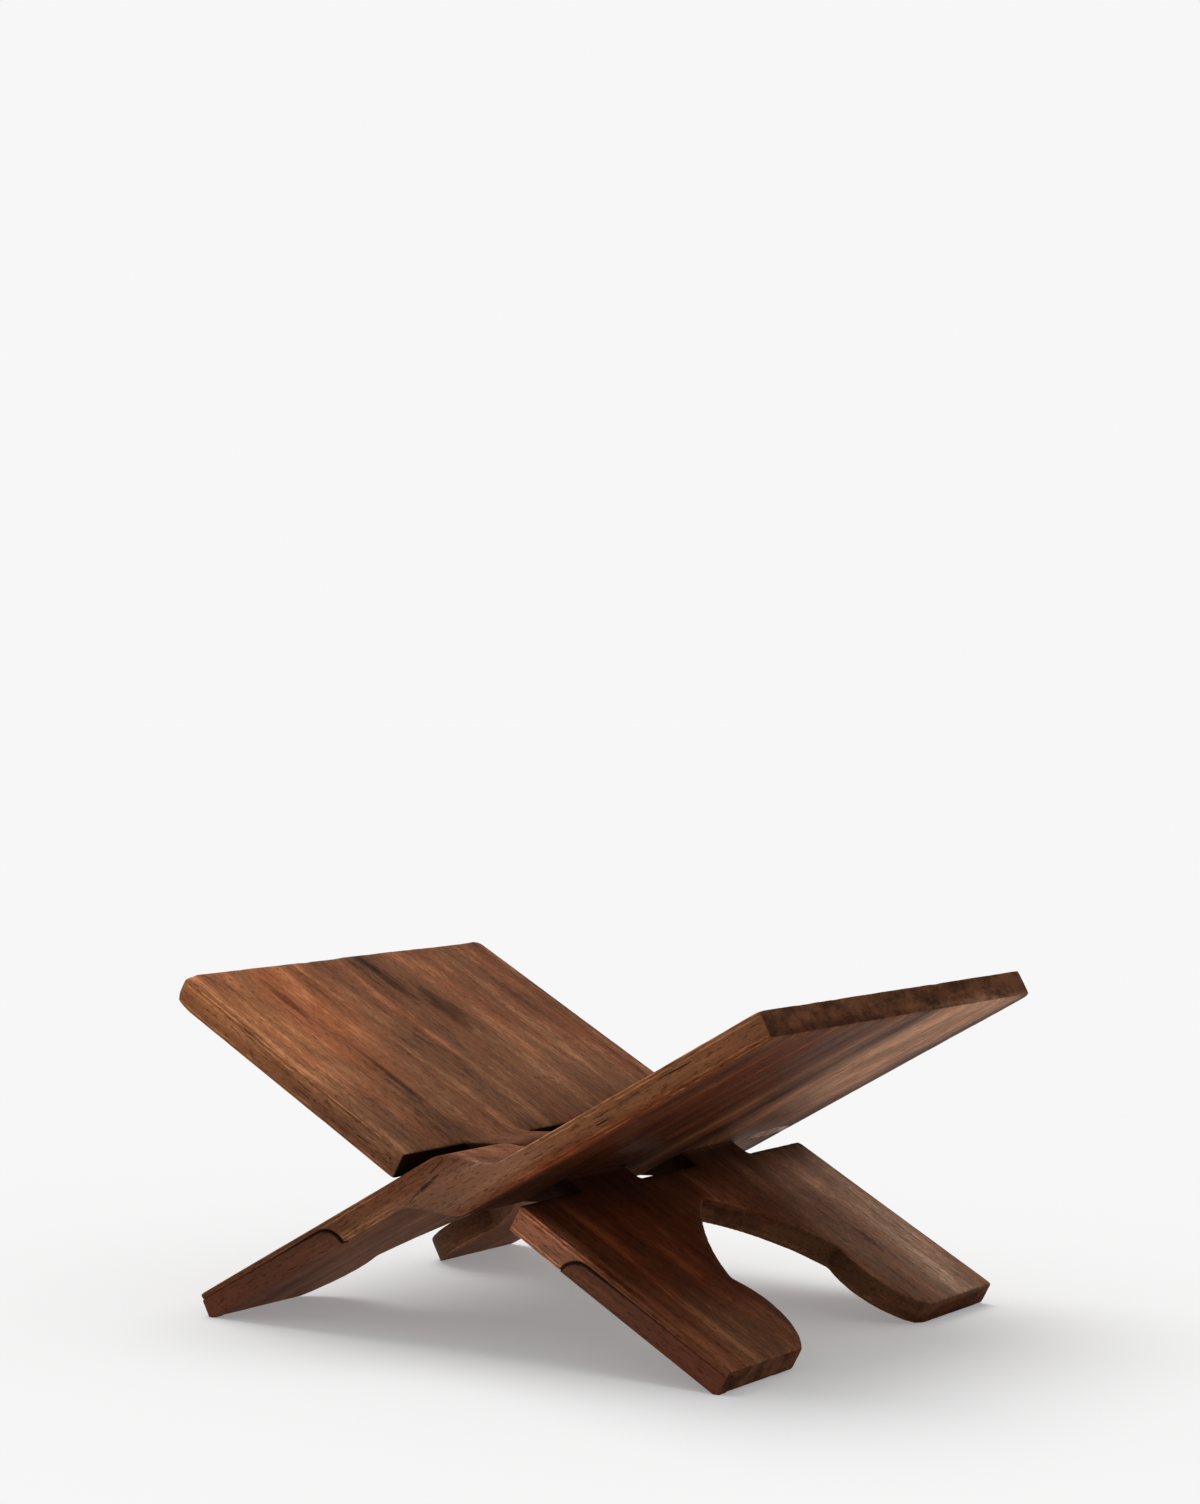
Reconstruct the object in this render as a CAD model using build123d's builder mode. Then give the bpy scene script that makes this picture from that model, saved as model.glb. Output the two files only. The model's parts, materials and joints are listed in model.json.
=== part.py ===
# Folding photo album stand, cut from one plank.
#
# The plank is split along its middle plane from both ends, and the two halves
# are carved apart around five interlocking knuckles, so that the leaves open
# into an X and can never come off each other.  There is no pin and no screw.
#
# Frame: X runs across the open X, Y along the hinge (front at -Y), Z up.
# The origin is on the floor, under the middle of the hinge.
# Each leaf has its own plane through the hinge line, with s along the leaf
# (plus towards the album) and n across it (plus towards the album side).
# All sizes are in millimetres and degrees.

import os
from math import cos, radians, sin

from build123d import *

# ---------------------------------------------------------------- driving sizes
plank_width = 250.0      # along the hinge
album_length = 193.5     # hinge to the top end of a leaf
short_length = 189.5     # the same at the front corner of leaf_b, sawn out of square
leg_length = 168.5       # hinge to the foot of a leaf
leaf_thick = 14.0        # each half of the plank
saw_gap = 3.5            # left between the halves by the saw and the plane
lean = 28.9              # slope of each open leaf above the floor
foot_wear = 1.6          # height worn off each foot arris, a flat on the floor

knuckle_count = 5        # the outer two and the middle one belong to leaf_a
knuckle_gap = 1.0        # side gap between neighbouring knuckles
crest_s = 1.5            # where the knuckle's slope leaves the leg's outer face
dip_s = 29.0             # where that slope meets the board's album face
crest_radius = 20.0
dip_radius = 12.0
knuckle_root = 6.0       # how far a knuckle's section runs on into its board and its leg
leg_window = 38.5        # hinge to the sawn end of a leg beside a knuckle
stop_gap = 0.3           # left where the open leaves come to rest on each other

arch_crown = -62.5       # the arch in the legs: s of its point
arch_waist = (-90.0, 33.5)
arch_shoulder = (-116.0, 49.5)
arch_throat = (-136.0, 44.5)
arch_foot = 62.5         # half the arch at the end of the legs
crown_radius = 3.0

patch_depth = 6.0        # let into the front edge of each front leg
patch_half = 12.5        # half the height of the strip in the closed plank
patch_round = -84.0      # s of the centre of its rounded end

corner_radius = 4.0      # the top end's two corners
arris_round = 1.2        # worn outline of the side faces

cut_beyond = 20.0        # how far a cut is drawn past the foot
face_tolerance = 0.01    # for finding the edges that lie in a side face

# ---------------------------------------------------------------- derived sizes
inner = saw_gap / 2
outer = inner + leaf_thick
half_width = plank_width / 2
lean_rad = radians(lean)
hinge_height = leg_length * sin(lean_rad) - inner * cos(lean_rad) - foot_wear
knuckle_pitch = plank_width / knuckle_count
# A board's lower end corner comes to rest on the other leaf's leg.
double_lean = radians(2 * lean)
board_window = (outer * (1 + cos(double_lean)) + stop_gap) / sin(double_lean)
fold_angle = 180 - 2 * lean


def edge_plane(side, y):
    """Plane across the hinge at y: its x is s and its y is n, for leaf side +1 or -1."""
    return Plane(
        origin=(0, y, hinge_height),
        x_dir=(side * cos(lean_rad), 0, sin(lean_rad)),
        z_dir=(0, -side, 0),
    )


def face_plane(side, n):
    """Plane along a leaf at height n: its x is s and its y is along the hinge."""
    s_dir = Vector(side * cos(lean_rad), 0, sin(lean_rad))
    n_dir = Vector(-side * sin(lean_rad), 0, cos(lean_rad))
    return Plane(origin=Vector(0, 0, hinge_height) + n_dir * n, x_dir=s_dir, z_dir=n_dir * side)


def knuckle_spans(side):
    """Y limits of the knuckles that belong to a leaf, with half the side gap taken off."""
    spans = []
    for index in range(0 if side > 0 else 1, knuckle_count, 2):
        low = -half_width + index * knuckle_pitch
        high = low + knuckle_pitch
        if index > 0:
            low += knuckle_gap / 2
        if index < knuckle_count - 1:
            high -= knuckle_gap / 2
        spans.append((low, high))
    return spans


def knuckle_face():
    """Section of a knuckle, the same when turned half a turn about the hinge line."""
    board_end = board_window + knuckle_root
    leg_end = -leg_window - knuckle_root
    with BuildSketch() as section:
        with BuildLine():
            FilletPolyline(
                (board_end, -inner),
                (dip_s, -inner),
                (crest_s, outer),
                (leg_end, outer),
                radius=(dip_radius, crest_radius),
            )
            Line((leg_end, outer), (leg_end, inner))
            FilletPolyline(
                (leg_end, inner),
                (-dip_s, inner),
                (-crest_s, -outer),
                (board_end, -outer),
                radius=(dip_radius, crest_radius),
            )
            Line((board_end, -outer), (board_end, -inner))
        make_face()
    return section.sketch


def arch_face():
    """Pointed arch between the two legs of a leaf, open at the foot."""
    below = -leg_length - cut_beyond
    with BuildSketch() as opening:
        with BuildLine():
            ThreePointArc((arch_crown, 0), arch_waist, arch_shoulder)
            ThreePointArc(arch_shoulder, arch_throat, (-leg_length, arch_foot))
            Line((-leg_length, arch_foot), (below, arch_foot))
            Line((below, arch_foot), (below, 0))
            mirror(about=Plane.XZ)
        make_face()
        crown = opening.vertices().sort_by(Axis.X)[-1]
        fillet(crown, crown_radius)
    return opening.sketch


def patch_face():
    """Edge strip of a front leg, with its rounded end towards the hinge."""
    length = patch_round + leg_length + cut_beyond
    with BuildSketch() as strip:
        with Locations((patch_round, 0)):
            Circle(patch_half)
            Rectangle(length, 2 * patch_half, align=(Align.MAX, Align.CENTER))
            # Only the half that lies in this leaf is kept.
            Rectangle(2 * length, outer, align=(Align.CENTER, Align.MIN), mode=Mode.INTERSECT)
    return strip.sketch


def whole_leaf(side):
    """One leaf before its edge patch: album board, knuckles and the legs beside the arch."""
    with BuildPart() as leaf:
        # The legs are one board with the pointed arch sawn out of it.
        with BuildSketch(face_plane(side, inner)):
            with Locations((-(leg_length + leg_window) / 2, 0)):
                Rectangle(leg_length - leg_window, plank_width)
            add(arch_face(), mode=Mode.SUBTRACT)
        extrude(amount=side * leaf_thick)
        # The album board stops short of the other leaf's knuckles.  Its top end is
        # square on leaf_a, and lower at the front corner on leaf_b.
        front_length = album_length if side > 0 else short_length
        with BuildSketch(face_plane(side, -outer)) as board:
            with BuildLine():
                Polyline(
                    (board_window, -half_width),
                    (front_length, -half_width),
                    (album_length, half_width),
                    (board_window, half_width),
                    close=True,
                )
            make_face()
            top_end = board.vertices().sort_by(Axis.X)[-2:]
            fillet(top_end, corner_radius)
        extrude(amount=side * leaf_thick)
        for low, high in knuckle_spans(side):
            with BuildSketch(edge_plane(side, low)):
                add(knuckle_face())
            extrude(amount=-side * (high - low))
        # The outline of both side faces is worn round.
        near_side = half_width - face_tolerance
        far_side = half_width + face_tolerance
        front = leaf.edges().filter_by_position(Axis.Y, -far_side, -near_side)
        back = leaf.edges().filter_by_position(Axis.Y, near_side, far_side)
        fillet(front + back, arris_round)
        # Worn flats under the feet.
        split(bisect_by=Plane.XY, keep=Keep.TOP)
    return leaf.part


def make_leaf(side):
    """A leaf with the seat of its edge patch cut from the front of its front leg."""
    with BuildPart() as leaf:
        add(whole_leaf(side))
        with BuildSketch(edge_plane(side, -half_width)):
            add(patch_face())
        extrude(amount=-side * patch_depth, mode=Mode.SUBTRACT)
    return leaf


def make_patch(side):
    """The strip that fills that seat, worn to the same outside as the leaf."""
    with BuildPart() as patch:
        add(whole_leaf(side))
        with BuildSketch(edge_plane(side, -half_width)):
            add(patch_face())
        extrude(amount=-side * patch_depth, mode=Mode.INTERSECT)
    return patch


os.makedirs("parts", exist_ok=True)

leaf_a = make_leaf(1)
leaf_a.part.label = "leaf_a"
export_step(leaf_a.part, "parts/leaf_a.step")

leaf_b = make_leaf(-1)
leaf_b.part.label = "leaf_b"
export_step(leaf_b.part, "parts/leaf_b.step")

patch_a = make_patch(1)
patch_a.part.label = "patch_a"
export_step(patch_a.part, "parts/patch_a.step")

patch_b = make_patch(-1)
patch_b.part.label = "patch_b"
export_step(patch_b.part, "parts/patch_b.step")

print("board window", round(board_window, 2), "hinge height", round(hinge_height, 2))
print("fold angle", round(fold_angle, 2))
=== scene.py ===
import json
import math

import bpy
import numpy as np
from mathutils import Matrix, Vector, noise


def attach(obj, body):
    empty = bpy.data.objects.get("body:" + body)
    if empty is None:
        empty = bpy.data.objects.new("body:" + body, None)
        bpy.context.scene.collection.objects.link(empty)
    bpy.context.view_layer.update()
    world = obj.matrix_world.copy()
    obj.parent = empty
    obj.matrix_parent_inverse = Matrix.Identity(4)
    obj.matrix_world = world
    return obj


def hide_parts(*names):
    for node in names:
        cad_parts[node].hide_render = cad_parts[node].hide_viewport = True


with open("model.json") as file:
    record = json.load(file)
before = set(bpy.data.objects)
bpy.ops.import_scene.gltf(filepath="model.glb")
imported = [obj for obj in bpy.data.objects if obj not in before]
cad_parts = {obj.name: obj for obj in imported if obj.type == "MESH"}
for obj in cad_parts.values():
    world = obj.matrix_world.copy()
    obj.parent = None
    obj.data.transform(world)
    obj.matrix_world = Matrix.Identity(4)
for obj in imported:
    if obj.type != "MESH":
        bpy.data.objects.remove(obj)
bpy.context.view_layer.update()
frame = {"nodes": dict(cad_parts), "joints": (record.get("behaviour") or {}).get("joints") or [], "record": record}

# ---------------------------------------------------------------- the frame
# Each leaf has its own axes through the hinge line: s runs along the leaf
# towards the album, y along the hinge, n across the leaf to the album side.
# Every place below is (s, y, n) in millimetres, unless it says otherwise.
MM = 0.001
HINGE = Vector(frame["joints"][0]["pos_m"])
MOUNTS = {mount["name"]: mount for mount in frame["record"]["mounts"]}
BODY = {node: body for body, nodes in frame["record"]["behaviour"]["bodies"].items() for node in nodes}
SIDE = {"a": 1, "b": -1}


def leaf_axes(leaf):
    """Rows s, y and n of a leaf's axes, from the normal of its album face."""
    n = Vector(MOUNTS["album_face_" + leaf]["axis"]).normalized()
    s = Vector((n.z * SIDE[leaf], 0, -n.x * SIDE[leaf]))
    return Matrix((s, Vector((0, 1, 0)), n))


AXES = {leaf: leaf_axes(leaf) for leaf in SIDE}


def leaf_matrix(leaf):
    """Turns leaf axes in millimetres into the frame in metres."""
    turn = AXES[leaf].transposed().to_4x4()
    return Matrix.Translation(HINGE) @ turn @ Matrix.Scale(MM, 4)


def link(name, data):
    """A new object in the scene."""
    obj = bpy.data.objects.new(name, data)
    bpy.context.scene.collection.objects.link(obj)
    return obj


# ---------------------------------------------------------------- camera
LENS = 70.8
CAMERA_AZIMUTH = math.radians(34.6)
CAMERA_ELEVATION = math.radians(0.66)
CAMERA_DISTANCE = 1.480
CAMERA_RISE = 0.201


def make_camera():
    """A nearly level camera, above the stand and to the right of its front."""
    az, el = CAMERA_AZIMUTH, CAMERA_ELEVATION
    back = Vector((math.sin(az) * math.cos(el), -math.cos(az) * math.cos(el), math.sin(el)))
    right = Vector((math.cos(az), math.sin(az), 0))
    up = back.cross(right)
    camera = link("camera", bpy.data.cameras.new("camera"))
    camera.data.lens = LENS
    place = HINGE + back * CAMERA_DISTANCE + up * CAMERA_RISE
    camera.matrix_world = Matrix.Translation(place) @ Matrix((right, up, back)).transposed().to_4x4()
    bpy.context.scene.camera = camera


# ---------------------------------------------------------------- the plank, in millimetres
HALF_WIDTH = 125.0       # half its width, so the side faces are at y of plus and minus this
INNER_FACE = 1.75        # each half of the plank lies between these two distances
OUTER_FACE = 15.75       # from the plane through the hinge
PATCH_ROUND = -84.0      # s of the centre of the let-in strip's rounded end
PATCH_HALF = 12.5        # radius of that end

# ---------------------------------------------------------------- worked wood meshes
# A grid square's size across a leaf, and how many times longer it is along the leaf.
LEAF_GRID = (1.15, 1.6)
PATCH_GRID = (0.5, 1.0)
WEAR_ROUNDS = 14         # rounds of smoothing that show how far an arris stands out
CRISP_ROUNDS = 4         # the same for the arris line alone
MOST_BEND = 2            # millimetres by which an arris can stand out, or a hollow lie in

# What the years have cut off an arris, as shares of how far it stands out.
ARRIS_LEAST = 0.06
ARRIS_MORE = 0.40
ARRIS_GATHERS = 1.5      # a higher power leaves fewer, deeper worn parts
NICK_SHARE = 0.5         # of the nicks, next to the longer worn parts

# Millimetres cut away: by the plane on average, and where an edge is most worn or torn.
PLANE_DEPTH = 0.10
RIPPLE_DEPTH = 0.04
CORNER_DEPTH = 2.2
TORN_DEPTH = 1.6
PATCH_WEAR = 0.12        # the let-in strip's wear next to a leaf's

# Lengths along s, y and n of each unevenness, and what is added to its seed.
WORN_PARTS = ((34, 9, 9), 0)
NICKS = ((9, 5, 5), 5)
PLANE_MARKS = ((85, 17, 17), 11)
RIPPLE_MARKS = ((22, 2.6, 2.6), 17)
STRANDS = ((9, 1.8, 1.8), 23)

# Places that are hardly worn, with how much less: the knuckles and round the let-in strip.
SHELTERS = (((5, 0, 0), (75, 900, 60), 0.9), ((-150, -125, 14), (90, 16, 14), 0.85))


def gridded(node, leaf, grid, stretch):
    """The node's shape as an even grid of faces in leaf axes, in millimetres."""
    mesh = frame["nodes"][node].data.copy()
    mesh.transform(Matrix.Diagonal((1 / stretch, 1, 1, 1)) @ leaf_matrix(leaf).inverted())
    if SIDE[leaf] < 0:
        mesh.flip_normals()
    rough = link(node + "_grid", mesh)
    remesh = rough.modifiers.new("grid", "REMESH")
    remesh.mode = "VOXEL"
    remesh.voxel_size = grid
    evaluated = rough.evaluated_get(bpy.context.evaluated_depsgraph_get())
    even = bpy.data.meshes.new_from_object(evaluated)
    bpy.data.objects.remove(rough)
    even.transform(Matrix.Diagonal((stretch, 1, 1, 1)))
    even.materials.clear()
    return even


def read_points(mesh):
    """The mesh's points as rows of an array."""
    co = np.zeros(len(mesh.vertices) * 3)
    mesh.vertices.foreach_get("co", co)
    return co.reshape(-1, 3)


def read_normals(mesh):
    """The mesh's normals at its points, as rows of an array."""
    normals = np.zeros(len(mesh.vertices) * 3)
    mesh.vertex_normals.foreach_get("vector", normals)
    return normals.reshape(-1, 3)


def smoothed(co, mesh, rounds):
    """The points after each has moved to the middle of its neighbours, again and again."""
    edges = np.zeros(len(mesh.edges) * 2, dtype=int)
    mesh.edges.foreach_get("vertices", edges)
    a, b = edges[0::2], edges[1::2]
    count = np.bincount(edges, minlength=len(co))
    for _ in range(rounds):
        total = np.empty_like(co)
        for i in range(3):
            total[:, i] = np.bincount(a, co[b, i], len(co)) + np.bincount(b, co[a, i], len(co))
        co = (co + total / count[:, None]) / 2
    return co


def stands_out(co, normals, mesh, rounds):
    """How far each point stands out from its smoothed place, or lies in it if negative."""
    return ((co - smoothed(co, mesh, rounds)) * normals).sum(axis=1)


def noise_at(co, marks, seed):
    """Soft noise from -1 to 1 at each point, with its own length along each axis."""
    lengths, more_seed = marks
    scaled = co / np.array(lengths) + (seed + more_seed)
    return np.array([noise.noise(p) for p in scaled])


def add_attribute(mesh, name, values):
    """Stores a number at each point, for the materials."""
    attribute = mesh.attributes.new(name, "FLOAT", "POINT")
    attribute.data.foreach_set("value", values.astype(np.float32))


def near(co, centre, radii):
    """1 at the centre, falling softly to 0 at the radii."""
    d = np.linalg.norm((co - np.array(centre)) / np.array(radii), axis=1)
    t = np.clip(1 - d, 0, 1)
    return t * t * (3 - 2 * t)


def worn_depth(co, arris, seed, wear):
    """How far hand planing and wear have cut into the wood at each point."""
    patchy = noise_at(co, WORN_PARTS, seed) + NICK_SHARE * noise_at(co, NICKS, seed)
    cut = wear * arris * (ARRIS_LEAST + ARRIS_MORE * np.clip(patchy, 0, 1) ** ARRIS_GATHERS)
    planed = PLANE_DEPTH * wear * (1 + noise_at(co, PLANE_MARKS, seed))
    ripple = RIPPLE_DEPTH * wear * (1 + noise_at(co, RIPPLE_MARKS, seed))
    depth = cut + planed + ripple
    for centre, radii, share in SHELTERS:
        depth = depth * (1 - share * near(co, centre, radii))
    return depth


def worked(name, node, leaf, grid, seed, wear=1.0, torn=None, corner=None):
    """A piece of hand-worked wood: planed by hand, its arrises worn, kept inside the CAD shape."""
    mesh = gridded(node, leaf, *grid)
    co = read_points(mesh)
    normals = read_normals(mesh)
    bend = stands_out(co, normals, mesh, WEAR_ROUNDS)
    crisp = stands_out(co, normals, mesh, CRISP_ROUNDS)
    arris = np.clip(bend, 0, MOST_BEND)
    inward = worn_depth(co, arris, seed, wear)
    if corner is not None:
        inward = inward + CORNER_DEPTH * near(co, *corner) * np.clip(arris, 0, 1)
    if torn is not None:
        frayed = near(co, *torn)
        strands = np.clip(0.5 + noise_at(co, STRANDS, seed), 0, 1)
        inward = inward + TORN_DEPTH * frayed * strands
        add_attribute(mesh, "torn", frayed)
    co = co - normals * inward[:, None]
    mesh.vertices.foreach_set("co", co.ravel())
    add_attribute(mesh, "arris", np.clip(crisp, 0, 1))
    add_attribute(mesh, "hollow", np.clip(-bend, 0, MOST_BEND))
    mesh.transform(leaf_matrix(leaf))
    if SIDE[leaf] < 0:
        mesh.flip_normals()
    mesh.shade_smooth()
    mesh.update()
    piece = link(name, mesh)
    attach(piece, BODY[node])
    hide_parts(node)
    return piece


# ---------------------------------------------------------------- node helpers
def srgb(red, green, blue):
    """The linear colour of three display values from 0 to 255."""
    linear = [v / 255 / 12.92 if v <= 10 else ((v / 255 + 0.055) / 1.055) ** 2.4 for v in (red, green, blue)]
    return (*linear, 1.0)


def between(a, b, share):
    """The colour that is this share of the way from a to b."""
    return tuple(x + (y - x) * share for x, y in zip(a, b))


class Nodes:
    """Short names for making one material's nodes."""

    def __init__(self, name):
        self.material = bpy.data.materials.new(name)
        self.material.use_nodes = True
        self.tree = self.material.node_tree
        self.shader = self.tree.nodes["Principled BSDF"]

    def make(self, kind, **settings):
        node = self.tree.nodes.new(kind)
        for key, value in settings.items():
            setattr(node, key, value)
        return node

    def put(self, value, socket):
        """Links another node's output, or sets a plain value."""
        if isinstance(value, bpy.types.NodeSocket):
            self.tree.links.new(value, socket)
        else:
            socket.default_value = value

    def math(self, operation, a, b=0.0, clamp=False):
        node = self.make("ShaderNodeMath", operation=operation, use_clamp=clamp)
        self.put(a, node.inputs[0])
        self.put(b, node.inputs[1])
        return node.outputs[0]

    def plus(self, a, b):
        return self.math("ADD", a, b)

    def minus(self, a, b):
        return self.math("SUBTRACT", a, b)

    def times(self, a, *factors):
        for factor in factors:
            a = self.math("MULTIPLY", a, factor)
        return a

    def size(self, a):
        return self.math("ABSOLUTE", a)

    def most(self, a, b):
        return self.math("MAXIMUM", a, b)

    def vector(self, operation, a, b=(0, 0, 0)):
        node = self.make("ShaderNodeVectorMath", operation=operation)
        self.put(a, node.inputs[0])
        self.put(b, node.inputs[1])
        return node.outputs["Value" if operation in ("DOT_PRODUCT", "LENGTH") else "Vector"]

    def ramp(self, value, low, high, to_low=0.0, to_high=1.0):
        """A smooth step from to_low to to_high as the value goes from low to high."""
        node = self.make("ShaderNodeMapRange", interpolation_type="SMOOTHSTEP")
        for item, socket in zip((value, low, high, to_low, to_high), node.inputs):
            self.put(item, socket)
        return node.outputs[0]

    def fade(self, value, low, high):
        """A smooth step from 1 down to 0 as the value goes from low to high."""
        return self.ramp(value, low, high, 1.0, 0.0)

    def line_noise(self, value, length, detail, shift):
        """Noise along one number, with this length."""
        node = self.make("ShaderNodeTexNoise", noise_dimensions="1D")
        self.put(self.plus(value, shift * length), node.inputs["W"])
        node.inputs["Scale"].default_value = 1 / length
        node.inputs["Detail"].default_value = detail
        return node.outputs["Fac"]

    def mix(self, share, a, b, blend="MIX"):
        node = self.make("ShaderNodeMix", data_type="RGBA", blend_type=blend)
        self.put(share, node.inputs["Factor"])
        for value, name in ((a, "A"), (b, "B")):
            self.put(value, next(i for i in node.inputs if i.name == name and i.type == "RGBA"))
        return next(o for o in node.outputs if o.type == "RGBA")

    def attribute(self, name):
        return self.make("ShaderNodeAttribute", attribute_name=name).outputs["Fac"]

    def add_up(self, values, shares):
        """The sum of the named values, each times its share."""
        total = 0.0
        for name, share in shares.items():
            total = self.plus(total, self.times(values[name], share))
        return total


SPOT_WOBBLE = 0.45       # length of the unevenness of a spot's outline, as a share of its radii
SPOT_CORE = 0.25         # share of a spot's radii inside which it has its full strength
CRACK_WAVES = ((5, 3, 3), 2.0, 0.5, 3.1)     # a kind of noise, like those in GRAIN below
CRACK_SWAY = 2.5         # how far a crack wavers, as a share of its width
CRACK_CORE = 0.35        # share of a crack's width that has its full strength


class LeafNodes(Nodes):
    """Nodes that know where a point is in its leaf's axes, and how its face is turned."""

    def __init__(self, name, leaf):
        super().__init__(name)
        texture = self.make("ShaderNodeTexCoord")
        offset = self.vector("SUBTRACT", texture.outputs["Object"], tuple(HINGE))
        joined = self.make("ShaderNodeCombineXYZ")
        for axis, socket in zip(AXES[leaf], joined.inputs):
            self.put(self.vector("DOT_PRODUCT", offset, tuple(axis / MM)), socket)
        self.place = joined.outputs[0]
        split = self.make("ShaderNodeSeparateXYZ")
        self.put(self.place, split.inputs[0])
        self.s, self.y, self.n = split.outputs
        self.from_hinge = self.size(self.s)
        self.from_middle = self.size(self.y)
        self.endwise = self.vector("DOT_PRODUCT", texture.outputs["Normal"], tuple(AXES[leaf][0]))
        self.sidewise = self.size(self.vector("DOT_PRODUCT", texture.outputs["Normal"], tuple(AXES[leaf][1])))

    def grain(self, lengths, detail, roughness, shift):
        """Noise whose grain has these lengths along s, y and n."""
        scaled = self.vector("DIVIDE", self.place, lengths)
        moved = self.vector("ADD", scaled, (shift, shift, shift))
        node = self.make("ShaderNodeTexNoise")
        self.put(moved, node.inputs["Vector"])
        node.inputs["Scale"].default_value = 1.0
        node.inputs["Detail"].default_value = detail
        node.inputs["Roughness"].default_value = roughness
        return node.outputs["Fac"]

    def sway(self, *kind):
        """Noise that sways to both sides of zero."""
        return self.minus(self.grain(*kind), 0.5)

    def spot(self, centre, radii, ragged=0.0):
        """1 at the centre, falling to 0 at the radii, with an uneven outline if ragged."""
        offset = self.vector("DIVIDE", self.vector("SUBTRACT", self.place, centre), radii)
        far = self.vector("LENGTH", offset)
        if ragged:
            wobble = self.sway(tuple(r * SPOT_WOBBLE for r in radii), 3.0, 0.5, 0.0)
            far = self.plus(far, self.times(wobble, ragged))
        return self.fade(far, SPOT_CORE, 1.0)

    def crack(self, start, end, width):
        """1 on the line from start to end, 0 beyond the width, on a wavering course."""
        a, b = Vector(start), Vector(end)
        offset = self.vector("SUBTRACT", self.place, start)
        along = self.vector("DOT_PRODUCT", offset, tuple((b - a) / (b - a).length_squared))
        step = self.make("ShaderNodeVectorMath", operation="SCALE")
        step.inputs[0].default_value = b - a
        self.put(self.math("ADD", along, 0.0, clamp=True), step.inputs["Scale"])
        nearest = self.vector("ADD", step.outputs[0], start)
        away = self.vector("LENGTH", self.vector("SUBTRACT", self.place, nearest))
        waves = self.times(self.sway(*CRACK_WAVES), width * CRACK_SWAY)
        return self.fade(self.plus(away, waves), width * CRACK_CORE, width)



# ---------------------------------------------------------------- the grain of the wood
# Each kind of noise: its lengths along s, y and n, its detail, roughness and shift.
GRAIN = {
    "streaks": ((30, 2.6, 2.6), 4.0, 0.65, 9.3),
    "fibre": ((11, 1.0, 1.0), 4.0, 0.7, 0.0),
    "speckle": ((2.6, 1.1, 1.1), 3.0, 0.75, 2.2),
    "cloud": ((42, 15, 15), 4.0, 0.6, 5.5),
    "drift": ((90, 40, 40), 2.0, 0.5, 17.2),
    "hue": ((110, 24, 24), 2.0, 0.5, 12.9),
    "smudge": ((38, 4.6, 4.6), 5.0, 0.65, 15.7),
    "pores": ((6.0, 0.8, 0.8), 2.0, 0.6, 1.4),
    "mottle": ((5, 4.6, 8.0), 5.0, 0.72, 3.3),
    "end_smudge": ((20, 21, 8), 4.0, 0.6, 21.3),
}
SLOW_SWAY = ((420, 90, 90), 1.0, 0.5, 0.0)
QUICK_SWAY = ((48, 9, 9), 2.0, 0.5, 7.7)
EDGE_SWAY = ((9, 2.0, 2.0), 4.0, 0.7, 6.1)
EDGE_BREAKS = ((24, 9, 9), 4.0, 0.7, 8.2)
DASHES = ((17, 0.9, 0.9), 3.0, 0.6, 31.0)
TORN_FIBRES = ((14, 1.2, 1.2), 3.0, 0.7, 4.9)

# Noise along the distance from the tree's middle: its length, detail and shift.
BANDS = (10.0, 3.0, 0.0)
GROWTH = (2.4, 2.0, 4.0)
SLOW_PUSH = 16.0         # how far the slow and the quick sway push the rings
QUICK_PUSH = 4.0

# What each kind of noise adds to the tone, the end grain's tone, the height and the roughness.
TONE_SHARES = {
    "bands": 0.72,
    "growth": 0.20,
    "streaks": 0.48,
    "fibre": 0.50,
    "speckle": 0.46,
    "cloud": 0.66,
    "drift": 0.46,
}
TONE_MIDDLE = 1.74       # half the sum of those shares
END_TONE_SHARES = {"mottle": 0.35, "end_smudge": 0.65}
HEIGHT_SHARES = {"fibre": 0.40, "streaks": 0.25, "speckle": 0.25, "open_pores": -0.40, "sawn_end": 1.0}
ROUGH_SHARES = {"fibre": 1.0, "cloud": 0.6}

# Where each soft step lies on its own scale.
DARK_TONES = (-0.34, 0.02)
LIGHT_TONES = (0.0, 0.36)
HUE_STEP = (0.38, 0.62)
SMUDGE_STEP = (0.57, 0.72)
PORE_STEP = (0.57, 0.68)
END_STEP = (0.38, 0.62)
RUB_STEP = (0.50, 0.75)
BREAK_STEP = (0.38, 0.55)
DASH_STEP = (0.60, 0.65)
TORN_STEP = (0.12, 0.5)
TORN_FIBRE_STEP = (0.40, 0.56)
HOLLOW_STEP = (0.12, 1.0)
ROUGH_STEP = (0.5, 1.1)

# Widths and distances in millimetres: a pair is where a soft step starts and ends.
EDGE_WIDTH = (0.55, 1.05)
EDGE_STRAYS = 1.8        # how far the bare line on a long arris strays
SCRATCH_AT = 2.4         # the scratched line's distance from the face, and how far it strays
SCRATCH_WIDTH = (0.15, 0.45)
SIDE_SKIN = (0.6, 1.2)
OUT_OF_GAP = (INNER_FACE - 0.4, INNER_FACE)
EDGES_START = (28.0, 50.0)
SEAM_WIDTHS = (0.5, 1.25)
SEAM_GROWS = (PATCH_ROUND - 26.0, PATCH_ROUND + 4.0)
SEAM_SHOWS = (PATCH_ROUND - 30.0, PATCH_ROUND - 4.0)
SEAM_ENDS = (PATCH_ROUND + PATCH_HALF + 1.0, PATCH_ROUND + PATCH_HALF + 2.0)
FRONT_SKIN = (-HALF_WIDTH + 0.8, -HALF_WIDTH + 2.0)
# where the painted shade by the hinge stops short of the side faces
HINGE_SHADE_STOPS = (HALF_WIDTH - 1.6, HALF_WIDTH - 0.5)
INNER_END_REACH = (38.0, 46.0)
LEG_TO_BOARD = (-10.0, 10.0)
INNER_WALLS = (118.0, 121.0)
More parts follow.
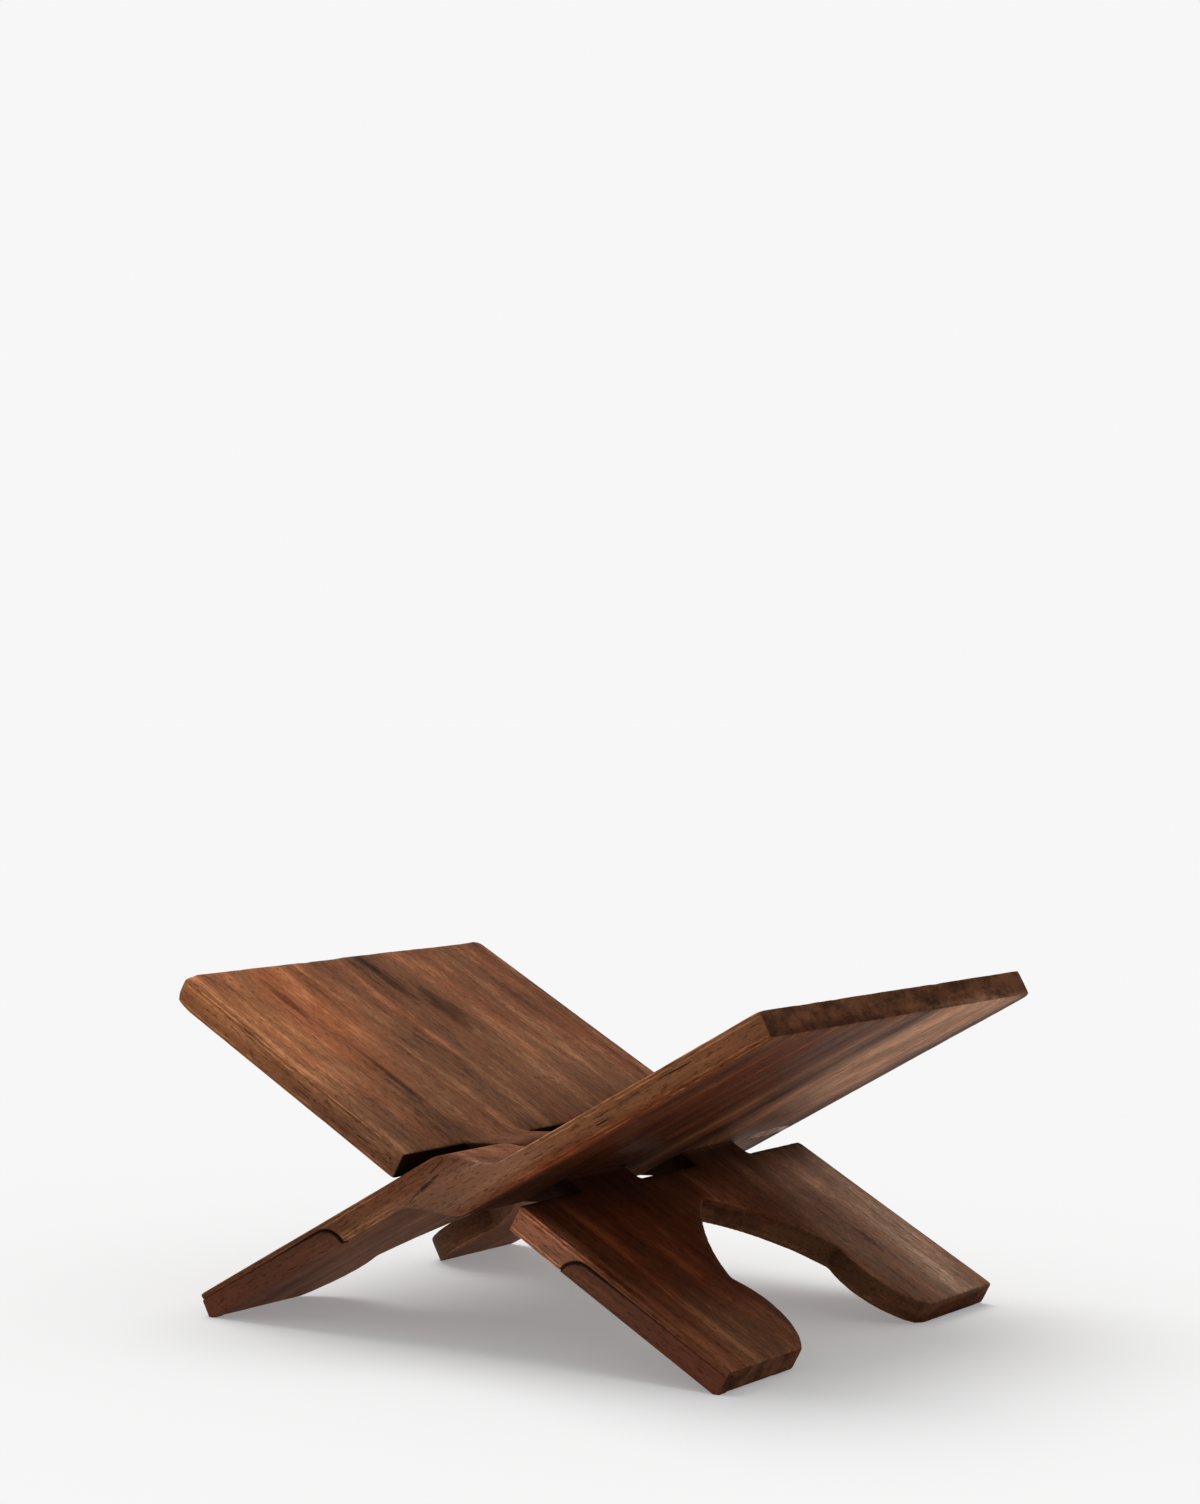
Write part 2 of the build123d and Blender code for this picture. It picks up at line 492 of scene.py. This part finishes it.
ARCH_STARTS = (40.0, 50.0)

# Share of the normal along s or y at which a face counts as an end, a side or a wall.
END_TURN = (0.55, 0.8)
SIDE_TURN = (0.6, 0.85)
WALL_TURN = (0.55, 0.85)
FACING_HINGE = (-0.85, -0.35)

# How strong each mark is, from 0 to 1 for those that mix in a colour.
SIDE_CALM = 0.62         # contrast left on the side faces
SMUDGE_SHARE = 0.45
PORE_SHARE = 0.55
PORE_DARK = 0.5
END_SHARE = 0.88
END_DARK = 0.25
END_LIGHT = 0.72
# the pale arrises, part worn bare wood and part painted highlight
WORN_AND_HIGHLIT_SHARE = 0.65
SCRATCH_SHARE = 0.6
RUB_SWAY = 0.7
RUB_SHARE = 0.6
BY_PATCH_LESS = 0.85     # less wear round the let-in strip
SEAM_CORE = 0.35
SEAM_FAINTEST = 0.15
CHECK_RAGGED = 0.8
CHECK_BLACK = 0.85
CRACK_DEPTH = 1.2
SEAM_BLACK = 0.85
# The painted shade by the hinge: how ragged its outline is and how strongly it darkens.
HINGE_SHADE_RAGGED = 0.2
HINGE_SHADE_SHARE = 0.82
# The painted shade towards black in the hollows, on the sawn ends facing the hinge and on the slot walls:
HOLLOW_SHADE = 0.75
INNER_END_SHADE = 0.9
LEG_END_SHARE = 0.35     # of that, on the ends of the legs
WALL_SHADE = 0.85
ARCH_WALL_SHARE = 0.5    # of that, on the walls of the arch

SATIN = 0.46             # roughness of the smoothest and the roughest polished wood
DULL = 0.64
END_ROUGHER = 0.2
# how much rougher the wood is where shade is painted by the hinge
HINGE_SHADE_ROUGH = 1.3
GLOSS = 0.02
BUMP_STRENGTH = 0.8
BUMP_DEPTH = 0.6 * MM


def grain_rings(nodes, pith):
    """The distance from the tree's middle, pushed about slowly so that the rings wander."""
    flat = nodes.vector("MULTIPLY", nodes.vector("SUBTRACT", nodes.place, (0, *pith)), (0, 1, 1))
    radius = nodes.vector("LENGTH", flat)
    slow = nodes.times(nodes.sway(*SLOW_SWAY), SLOW_PUSH)
    quick = nodes.times(nodes.sway(*QUICK_SWAY), QUICK_PUSH)
    return nodes.plus(nodes.plus(radius, slow), quick)


def grain_marks(nodes, pith):
    """Every kind of grain at a point, by name."""
    marks = {name: nodes.grain(*kind) for name, kind in GRAIN.items()}
    rings = grain_rings(nodes, pith)
    marks["bands"] = nodes.line_noise(rings, *BANDS)
    marks["growth"] = nodes.line_noise(rings, *GROWTH)
    marks["open_pores"] = nodes.ramp(marks["pores"], *PORE_STEP)
    marks["end"] = nodes.ramp(nodes.size(nodes.endwise), *END_TURN)
    marks["sawn_end"] = nodes.times(marks["mottle"], marks["end"])
    return marks


def long_grain(nodes, marks, shades):
    """The colour of the grain along the wood, with slow changes of hue, smudges and pores."""
    dark, middle, light = shades[:3]
    tone = nodes.minus(nodes.add_up(marks, TONE_SHARES), TONE_MIDDLE)
    tone = nodes.times(tone, nodes.ramp(nodes.sidewise, *SIDE_TURN, 1.0, SIDE_CALM))
    low = nodes.mix(nodes.ramp(tone, *DARK_TONES), dark, middle)
    colour = nodes.mix(nodes.ramp(tone, *LIGHT_TONES), low, light)
    hue = nodes.mix(nodes.ramp(marks["hue"], *HUE_STEP), REDDER, GREYER)
    colour = nodes.mix(1.0, colour, hue, "MULTIPLY")
    smudge = nodes.ramp(marks["smudge"], *SMUDGE_STEP)
    colour = nodes.mix(nodes.times(smudge, SMUDGE_SHARE), colour, dark)
    return nodes.mix(nodes.times(marks["open_pores"], PORE_SHARE), colour, between(dark, BLACK, PORE_DARK))


def end_grain(nodes, marks, colour, shades):
    """Puts dark, smudged end grain on the sawn ends."""
    dark, middle = shades[:2]
    tone = nodes.ramp(nodes.add_up(marks, END_TONE_SHARES), *END_STEP)
    smudged = nodes.mix(tone, between(dark, BLACK, END_DARK), between(dark, middle, END_LIGHT))
    return nodes.mix(nodes.times(marks["end"], END_SHARE), colour, smudged)


def long_edge_lines(nodes, sway):
    """Bare wood with painted highlight on a leaf's long arrises, and a scratched line beside them on the side
    faces.
    """
    across = nodes.size(nodes.n)
    from_side = nodes.minus(HALF_WIDTH, nodes.from_middle)
    from_face = nodes.math("MINIMUM", nodes.minus(across, INNER_FACE), nodes.minus(OUTER_FACE, across))
    from_arris = nodes.most(from_side, from_face)
    edge = nodes.fade(nodes.plus(from_arris, nodes.times(sway, EDGE_STRAYS)), *EDGE_WIDTH)
    from_scratch = nodes.minus(nodes.plus(from_face, nodes.times(sway, SCRATCH_AT)), SCRATCH_AT)
    scratch = nodes.ramp(nodes.size(from_scratch), *SCRATCH_WIDTH, SCRATCH_SHARE, 0.0)
    line = nodes.most(edge, nodes.times(scratch, nodes.fade(from_side, *SIDE_SKIN)))
    past_knuckles = nodes.ramp(nodes.from_hinge, *EDGES_START)
    return nodes.times(line, nodes.ramp(across, *OUT_OF_GAP), past_knuckles)


def worn_and_highlit_edges(nodes):
    """Thin, broken lines of bare wood and painted highlight along the long arrises, and softer rubbing, also with
    painted highlight, on the others.
    """
    sway = nodes.sway(*EDGE_SWAY)
    rub = nodes.plus(nodes.attribute("arris"), nodes.times(sway, RUB_SWAY))
    other = nodes.times(nodes.ramp(rub, *RUB_STEP), RUB_SHARE)
    broken = nodes.ramp(nodes.grain(*EDGE_BREAKS), *BREAK_STEP)
    kept = nodes.minus(1.0, nodes.times(nodes.spot(*BY_PATCH), BY_PATCH_LESS))
    return nodes.times(nodes.most(long_edge_lines(nodes, sway), other), broken, kept)


def toned(nodes, colour, tones):
    """Multiplies the colour by each tone's gain inside its spot."""
    for centre, radii, gain, ragged in tones:
        spot = nodes.spot(centre, radii, ragged)
        colour = nodes.mix(spot, colour, nodes.mix(1.0, colour, (*gain, 1), "MULTIPLY"))
    return colour


def patch_seam(nodes):
    """The dark joint round the let-in strip, widest at its rounded end."""
    beyond = nodes.most(nodes.minus(nodes.s, PATCH_ROUND), 0.0)
    squares = nodes.plus(nodes.times(beyond, beyond), nodes.times(nodes.n, nodes.n))
    away = nodes.size(nodes.minus(nodes.math("SQRT", squares), PATCH_HALF))
    width = nodes.ramp(nodes.s, *SEAM_GROWS, *SEAM_WIDTHS)
    line = nodes.fade(nodes.math("DIVIDE", away, width), SEAM_CORE, 1.0)
    shown = nodes.ramp(nodes.s, *SEAM_SHOWS, SEAM_FAINTEST, 1.0)
    return nodes.times(line, shown, nodes.fade(nodes.y, *FRONT_SKIN), nodes.fade(nodes.s, *SEAM_ENDS))


def clefts(nodes, checks, cracks):
    """Each opening in the wood: where it is, how black and how deep."""
    dashes = nodes.ramp(nodes.grain(*DASHES), *DASH_STEP)
    for centre, radii in checks:
        yield nodes.times(nodes.spot(centre, radii, CHECK_RAGGED), dashes), CHECK_BLACK, 1.0
    for start, finish, width, strength in cracks:
        yield nodes.crack(start, finish, width), strength, CRACK_DEPTH * strength
    yield patch_seam(nodes), SEAM_BLACK, 1.0


def painted_hinge_shade(nodes, hinge_shade):
    """Where shade is painted dark by the hinge, apart from the side faces."""
    if hinge_shade is None:
        return 0.0
    off_sides = nodes.fade(nodes.from_middle, *HINGE_SHADE_STOPS)
    return nodes.times(nodes.spot(*hinge_shade, HINGE_SHADE_RAGGED), off_sides)


def inner_ends(nodes):
    """The sawn ends that face the hinge, where shade is painted black and the wood is rougher, at full strength on
    the boards.
    """
    towards_hinge = nodes.times(nodes.endwise, nodes.math("SIGN", nodes.s))
    facing = nodes.fade(towards_hinge, *FACING_HINGE)
    close = nodes.fade(nodes.from_hinge, *INNER_END_REACH)
    return nodes.times(facing, close, nodes.ramp(nodes.s, *LEG_TO_BOARD, LEG_END_SHARE, 1.0))


def inner_walls(nodes):
    """The walls of the slots between the knuckles, and more weakly those of the arch, where shade is painted dark.
    """
    inside = nodes.fade(nodes.from_middle, *INNER_WALLS)
    by_knuckles = nodes.ramp(nodes.from_hinge, *ARCH_STARTS, 1.0, ARCH_WALL_SHARE)
    return nodes.times(nodes.ramp(nodes.sidewise, *WALL_TURN), inside, by_knuckles)


def torn_fibres(nodes, colour):
    """Puts pale, fresh fibres where the edge is torn."""
    frayed = nodes.ramp(nodes.attribute("torn"), *TORN_STEP)
    fibres = nodes.ramp(nodes.grain(*TORN_FIBRES), *TORN_FIBRE_STEP)
    return nodes.mix(nodes.times(frayed, fibres), colour, FRESH)


def polish(nodes, marks, ends, hinge_shading):
    """The roughness: satin wood, rougher ends and a dull hollow where shade is painted by the hinge."""
    rough = nodes.ramp(nodes.add_up(marks, ROUGH_SHARES), *ROUGH_STEP, SATIN, DULL)
    rough = nodes.plus(rough, nodes.times(nodes.most(marks["end"], ends), END_ROUGHER))
    return nodes.most(rough, nodes.math("MULTIPLY", hinge_shading, HINGE_SHADE_ROUGH, clamp=True))


def wood(name, leaf, pith, shades, tones=(), checks=(), cracks=(), hinge_shade=None, torn=False, glow=1.0):
    """Oiled, worn hardwood in leaf axes: rings, bands, fibres, pores, end grain and wear.

    The pith is the tree's middle (y, n).  Tones are soft spots (centre, radii, gain,
    raggedness), among them painted shade and painted sheen, checks are zones of fine
    splits (centre, radii), cracks are single splits (start, end, width, strength) and the
    shade painted dark by the hinge is given as (centre, radii).
    Glow is how strongly the worn edges, with their painted highlight, show.
    """
    nodes = LeafNodes(name, leaf)
    marks = grain_marks(nodes, pith)
    colour = long_grain(nodes, marks, shades)
    colour = end_grain(nodes, marks, colour, shades)
    # Pale arrises: worn bare wood and painted highlight.
    colour = nodes.mix(nodes.times(worn_and_highlit_edges(nodes), WORN_AND_HIGHLIT_SHARE * glow), colour, shades[-1])
    colour = toned(nodes, colour, tones)
    height = nodes.add_up(marks, HEIGHT_SHARES)
    for cleft, black, depth in clefts(nodes, checks, cracks):
        colour = nodes.mix(nodes.times(cleft, black), colour, BLACK)
        height = nodes.minus(height, nodes.times(cleft, depth))
    # Painted shade: the wood by the hinge is darkened towards a dark brown.
    hinge_shading = painted_hinge_shade(nodes, hinge_shade)
    colour = nodes.mix(nodes.times(hinge_shading, HINGE_SHADE_SHARE), colour, HINGE_SHADE_BROWN)
    # Painted shade: the hollows, the sawn ends facing the hinge and the walls of the slots are darkened towards
    # black.
    hollow = nodes.ramp(nodes.attribute("hollow"), *HOLLOW_STEP)
    ends = inner_ends(nodes)
    for share, black in ((hollow, HOLLOW_SHADE), (ends, INNER_END_SHADE), (inner_walls(nodes), WALL_SHADE)):
        colour = nodes.mix(nodes.times(share, black), colour, BLACK)
    if torn:
        colour = torn_fibres(nodes, colour)
    bump = nodes.make("ShaderNodeBump")
    bump.inputs["Strength"].default_value = BUMP_STRENGTH
    bump.inputs["Distance"].default_value = BUMP_DEPTH
    nodes.put(height, bump.inputs["Height"])
    nodes.put(colour, nodes.shader.inputs["Base Color"])
    nodes.put(polish(nodes, marks, ends, hinge_shading), nodes.shader.inputs["Roughness"])
    nodes.put(bump.outputs["Normal"], nodes.shader.inputs["Normal"])
    nodes.shader.inputs["Specular IOR Level"].default_value = GLOSS
    return nodes.material


# ---------------------------------------------------------------- stage and light
BACKDROP = 0.93          # brightness of the room, as the camera sees it
ROOM_LIGHT = 0.60        # and as it lights the stand
FLOOR_SIZE = 400.0       # in metres, so that its far edge can't be told from the room
FLOOR_SHADE = 0.58
FLOOR_GLOW = 0.24
KEY_AZIMUTH = math.radians(-62)
KEY_ELEVATION = math.radians(68)
KEY_SOFTNESS = math.radians(48)


def make_floor():
    """A pale floor that melts into the room."""
    size = FLOOR_SIZE / 2
    mesh = bpy.data.meshes.new("floor")
    corners = [(-size, -size, 0), (size, -size, 0), (size, size, 0), (-size, size, 0)]
    mesh.from_pydata(corners, [], [(0, 1, 2, 3)])
    floor = link("floor", mesh)
    nodes = Nodes("floor")
    nodes.shader.inputs["Base Color"].default_value = (FLOOR_SHADE, FLOOR_SHADE, FLOOR_SHADE, 1)
    nodes.shader.inputs["Emission Color"].default_value = (1, 1, 1, 1)
    nodes.shader.inputs["Emission Strength"].default_value = FLOOR_GLOW
    nodes.shader.inputs["Roughness"].default_value = 1.0
    nodes.shader.inputs["Specular IOR Level"].default_value = 0.0
    mesh.materials.append(nodes.material)


def make_room():
    """A pale room that looks brighter than the light it gives."""
    world = bpy.data.worlds.new("room")
    world.use_nodes = True
    tree = world.node_tree
    seen = tree.nodes.new("ShaderNodeLightPath").outputs["Is Camera Ray"]
    level = tree.nodes.new("ShaderNodeMapRange")
    level.inputs["To Min"].default_value = ROOM_LIGHT
    level.inputs["To Max"].default_value = BACKDROP
    tree.links.new(seen, level.inputs["Value"])
    tree.links.new(level.outputs[0], tree.nodes["Background"].inputs["Strength"])
    tree.nodes["Background"].inputs["Color"].default_value = (1, 1, 1, 1)
    bpy.context.scene.world = world
    bpy.context.scene.view_settings.view_transform = "Standard"


def make_key_light():
    """A broad light from above, just strong enough to make the floor as bright as the room."""
    lamp = bpy.data.lights.new("key", "SUN")
    lamp.angle = KEY_SOFTNESS
    floor_light = (BACKDROP - FLOOR_GLOW) / FLOOR_SHADE - ROOM_LIGHT
    lamp.energy = math.pi * floor_light / math.sin(KEY_ELEVATION)
    flat = math.cos(KEY_ELEVATION)
    towards = Vector((math.sin(KEY_AZIMUTH) * flat, math.cos(KEY_AZIMUTH) * flat, math.sin(KEY_ELEVATION)))
    key = link("key", lamp)
    key.rotation_mode = "QUATERNION"
    key.rotation_quaternion = towards.to_track_quat("Z", "Y")


# ---------------------------------------------------------------- the stand
# Colours of each wood: dark, middle, light and worn, the last being bare wood with painted highlight on the
# arrises.
WOOD = (srgb(53, 31, 20), srgb(110, 69, 46), srgb(156, 105, 74), srgb(190, 130, 90))
PATCH = (srgb(52, 30, 22), srgb(92, 55, 40), srgb(124, 79, 58), srgb(150, 98, 68))
BLACK = srgb(20, 12, 9)
# the dark brown of the painted shade by the hinge
HINGE_SHADE_BROWN = srgb(42, 19, 10)
FRESH = srgb(204, 170, 150)
REDDER = (1.07, 0.97, 0.93, 1)
GREYER = (0.94, 1.00, 1.00, 1)

# Gains that a tone multiplies the wood's red, green and blue by.
HONEY = (1.42, 1.34, 1.26)
DUST = (1.10, 1.35, 1.70)
GOLD = (1.80, 1.62, 1.38)
AMBER = (1.10, 1.14, 1.16)
SUNNY = (1.9, 1.9, 2.2)
# a painted pink sheen
PAINTED_PINK_SHEEN = (2.1, 2.6, 3.1)
DEEP = (0.50, 0.44, 0.40)
# a darker brown, used below as painted shade on leaf a's underside and on the top of leaf b's legs
UMBER = (0.56, 0.38, 0.29)
# a painted grey sheen
PAINTED_GREY_SHEEN = (1.7, 2.5, 3.5)
PLUM = (0.70, 0.68, 0.72)

BY_PATCH = ((-150, -125, 9), (100, 14, 16))      # round the let-in strip
ABOVE_PATCH = ((-150, -125, 16), (85, 9, 5), PLUM, 0.0)

PITH = {"a": (70, -150), "b": (40, -190)}
PATCH_PITH = {"a": (-90, 60), "b": (-70, 90)}
PATCH_GLOW = 0.3
SEED = {"a": 3.0, "b": 41.0}
PATCH_SEED = 60          # added to the leaf's seed
TONES = {
    "a": (
        ((95, -125, -9), (150, 7, 18), HONEY, 0.6),
        ((10, -125, -2), (75, 8, 18), DUST, 0.4),
        # painted pink sheen on the far end of leaf a's underside
        ((168, 85, -17), (135, 105, 8), PAINTED_PINK_SHEEN, 0.8),
        # painted shade on leaf a's underside
        ((90, -90, -17), (190, 130, 9), UMBER, 0.4),
        ABOVE_PATCH,
    ),
    "b": (
        ((175, -100, -2), (130, 95, 30), GOLD, 0.5),
        ((105, -10, -2), (150, 200, 20), AMBER, 0.4),
        ((-58, -125, 9), (46, 8, 20), SUNNY, 0.4),
        ((-169, 90, 8), (4, 50, 12), UMBER, 0.3),
        ((10, 20, -2), (60, 230, 20), DEEP, 0.5),
        ((160, -76, -2), (28, 5, 10), DEEP, 0.9),
        ((165, 14, -2), (34, 6, 10), DEEP, 0.9),
        ((90, -70, -2), (42, 3, 10), DEEP, 0.9),
        ((134, 30, -2), (30, 13, 10), DEEP, 1.2),
        # painted shadow of leaf a's board on the top of leaf b's legs
        ((-70, -60, 16), (110, 130, 8), UMBER, 0.8),
        # painted grey sheen on the top of leaf b's far leg
        ((-105, 100, 16), (130, 62, 6.5), PAINTED_GREY_SHEEN, 0.6),
        ABOVE_PATCH,
    ),
}
CHECKS = {
    "a": (
        ((86, -125, -9), (48, 4, 5)),
        ((140, -125, -7), (34, 4, 4)),
        ((-8, -125, 7), (26, 4, 9)),
        ((125, 85, -16), (95, 70, 5)),
    ),
    "b": (((60, -125, -9), (60, 4, 7)),),
}
CRACKS = {
    "a": (
        ((-24, -125, 2.5), (-14, -125, 5.5), 0.4, 0.5),
        ((-15, -125, 4.5), (-3, -125, 7), 0.8, 0.6),
        ((-6, -125, 9.5), (3, -125, 12), 0.7, 0.6),
    ),
    "b": (
        ((43.5, -125, -12.5), (45, -125, -12.7), 1.0, 0.8),
        ((33.5, -125, -7.8), (35, -125, -7.4), 1.1, 0.8),
    ),
}
# Where shade is painted dark by the hinge on each leaf: centre and radii.
HINGE_SHADE_PLACE = {"a": ((6, -50, -10), (90, 170, 18)), "b": ((-20, 0, 14), (50, 900, 11))}
TORN_EDGE = {"a": ((31, 106, -16), (9, 26, 5))}
WORN_CORNER = {"b": ((190, -125, -9), (15, 13, 30))}


def make_board(leaf):
    """A whole leaf: its album board, knuckles and legs."""
    torn = TORN_EDGE.get(leaf)
    corner = WORN_CORNER.get(leaf)
    name = "leaf_wood_" + leaf
    board = worked(name, "leaf_" + leaf, leaf, LEAF_GRID, SEED[leaf], torn=torn, corner=corner)
    places = (TONES[leaf], CHECKS[leaf], CRACKS[leaf], HINGE_SHADE_PLACE[leaf])
    board.data.materials.append(wood("wood_" + leaf, leaf, PITH[leaf], WOOD, *places, torn=torn is not None))


def make_patch(leaf):
    """The darker strip let into the front edge of a leaf's front leg."""
    seed = SEED[leaf] + PATCH_SEED
    patch = worked("patch_wood_" + leaf, "patch_" + leaf, leaf, PATCH_GRID, seed, PATCH_WEAR)
    patch.data.materials.append(wood("patch_wood_" + leaf, leaf, PATCH_PITH[leaf], PATCH, glow=PATCH_GLOW))


make_camera()
make_floor()
make_room()
make_key_light()
for leaf in SIDE:
    make_board(leaf)
    make_patch(leaf)
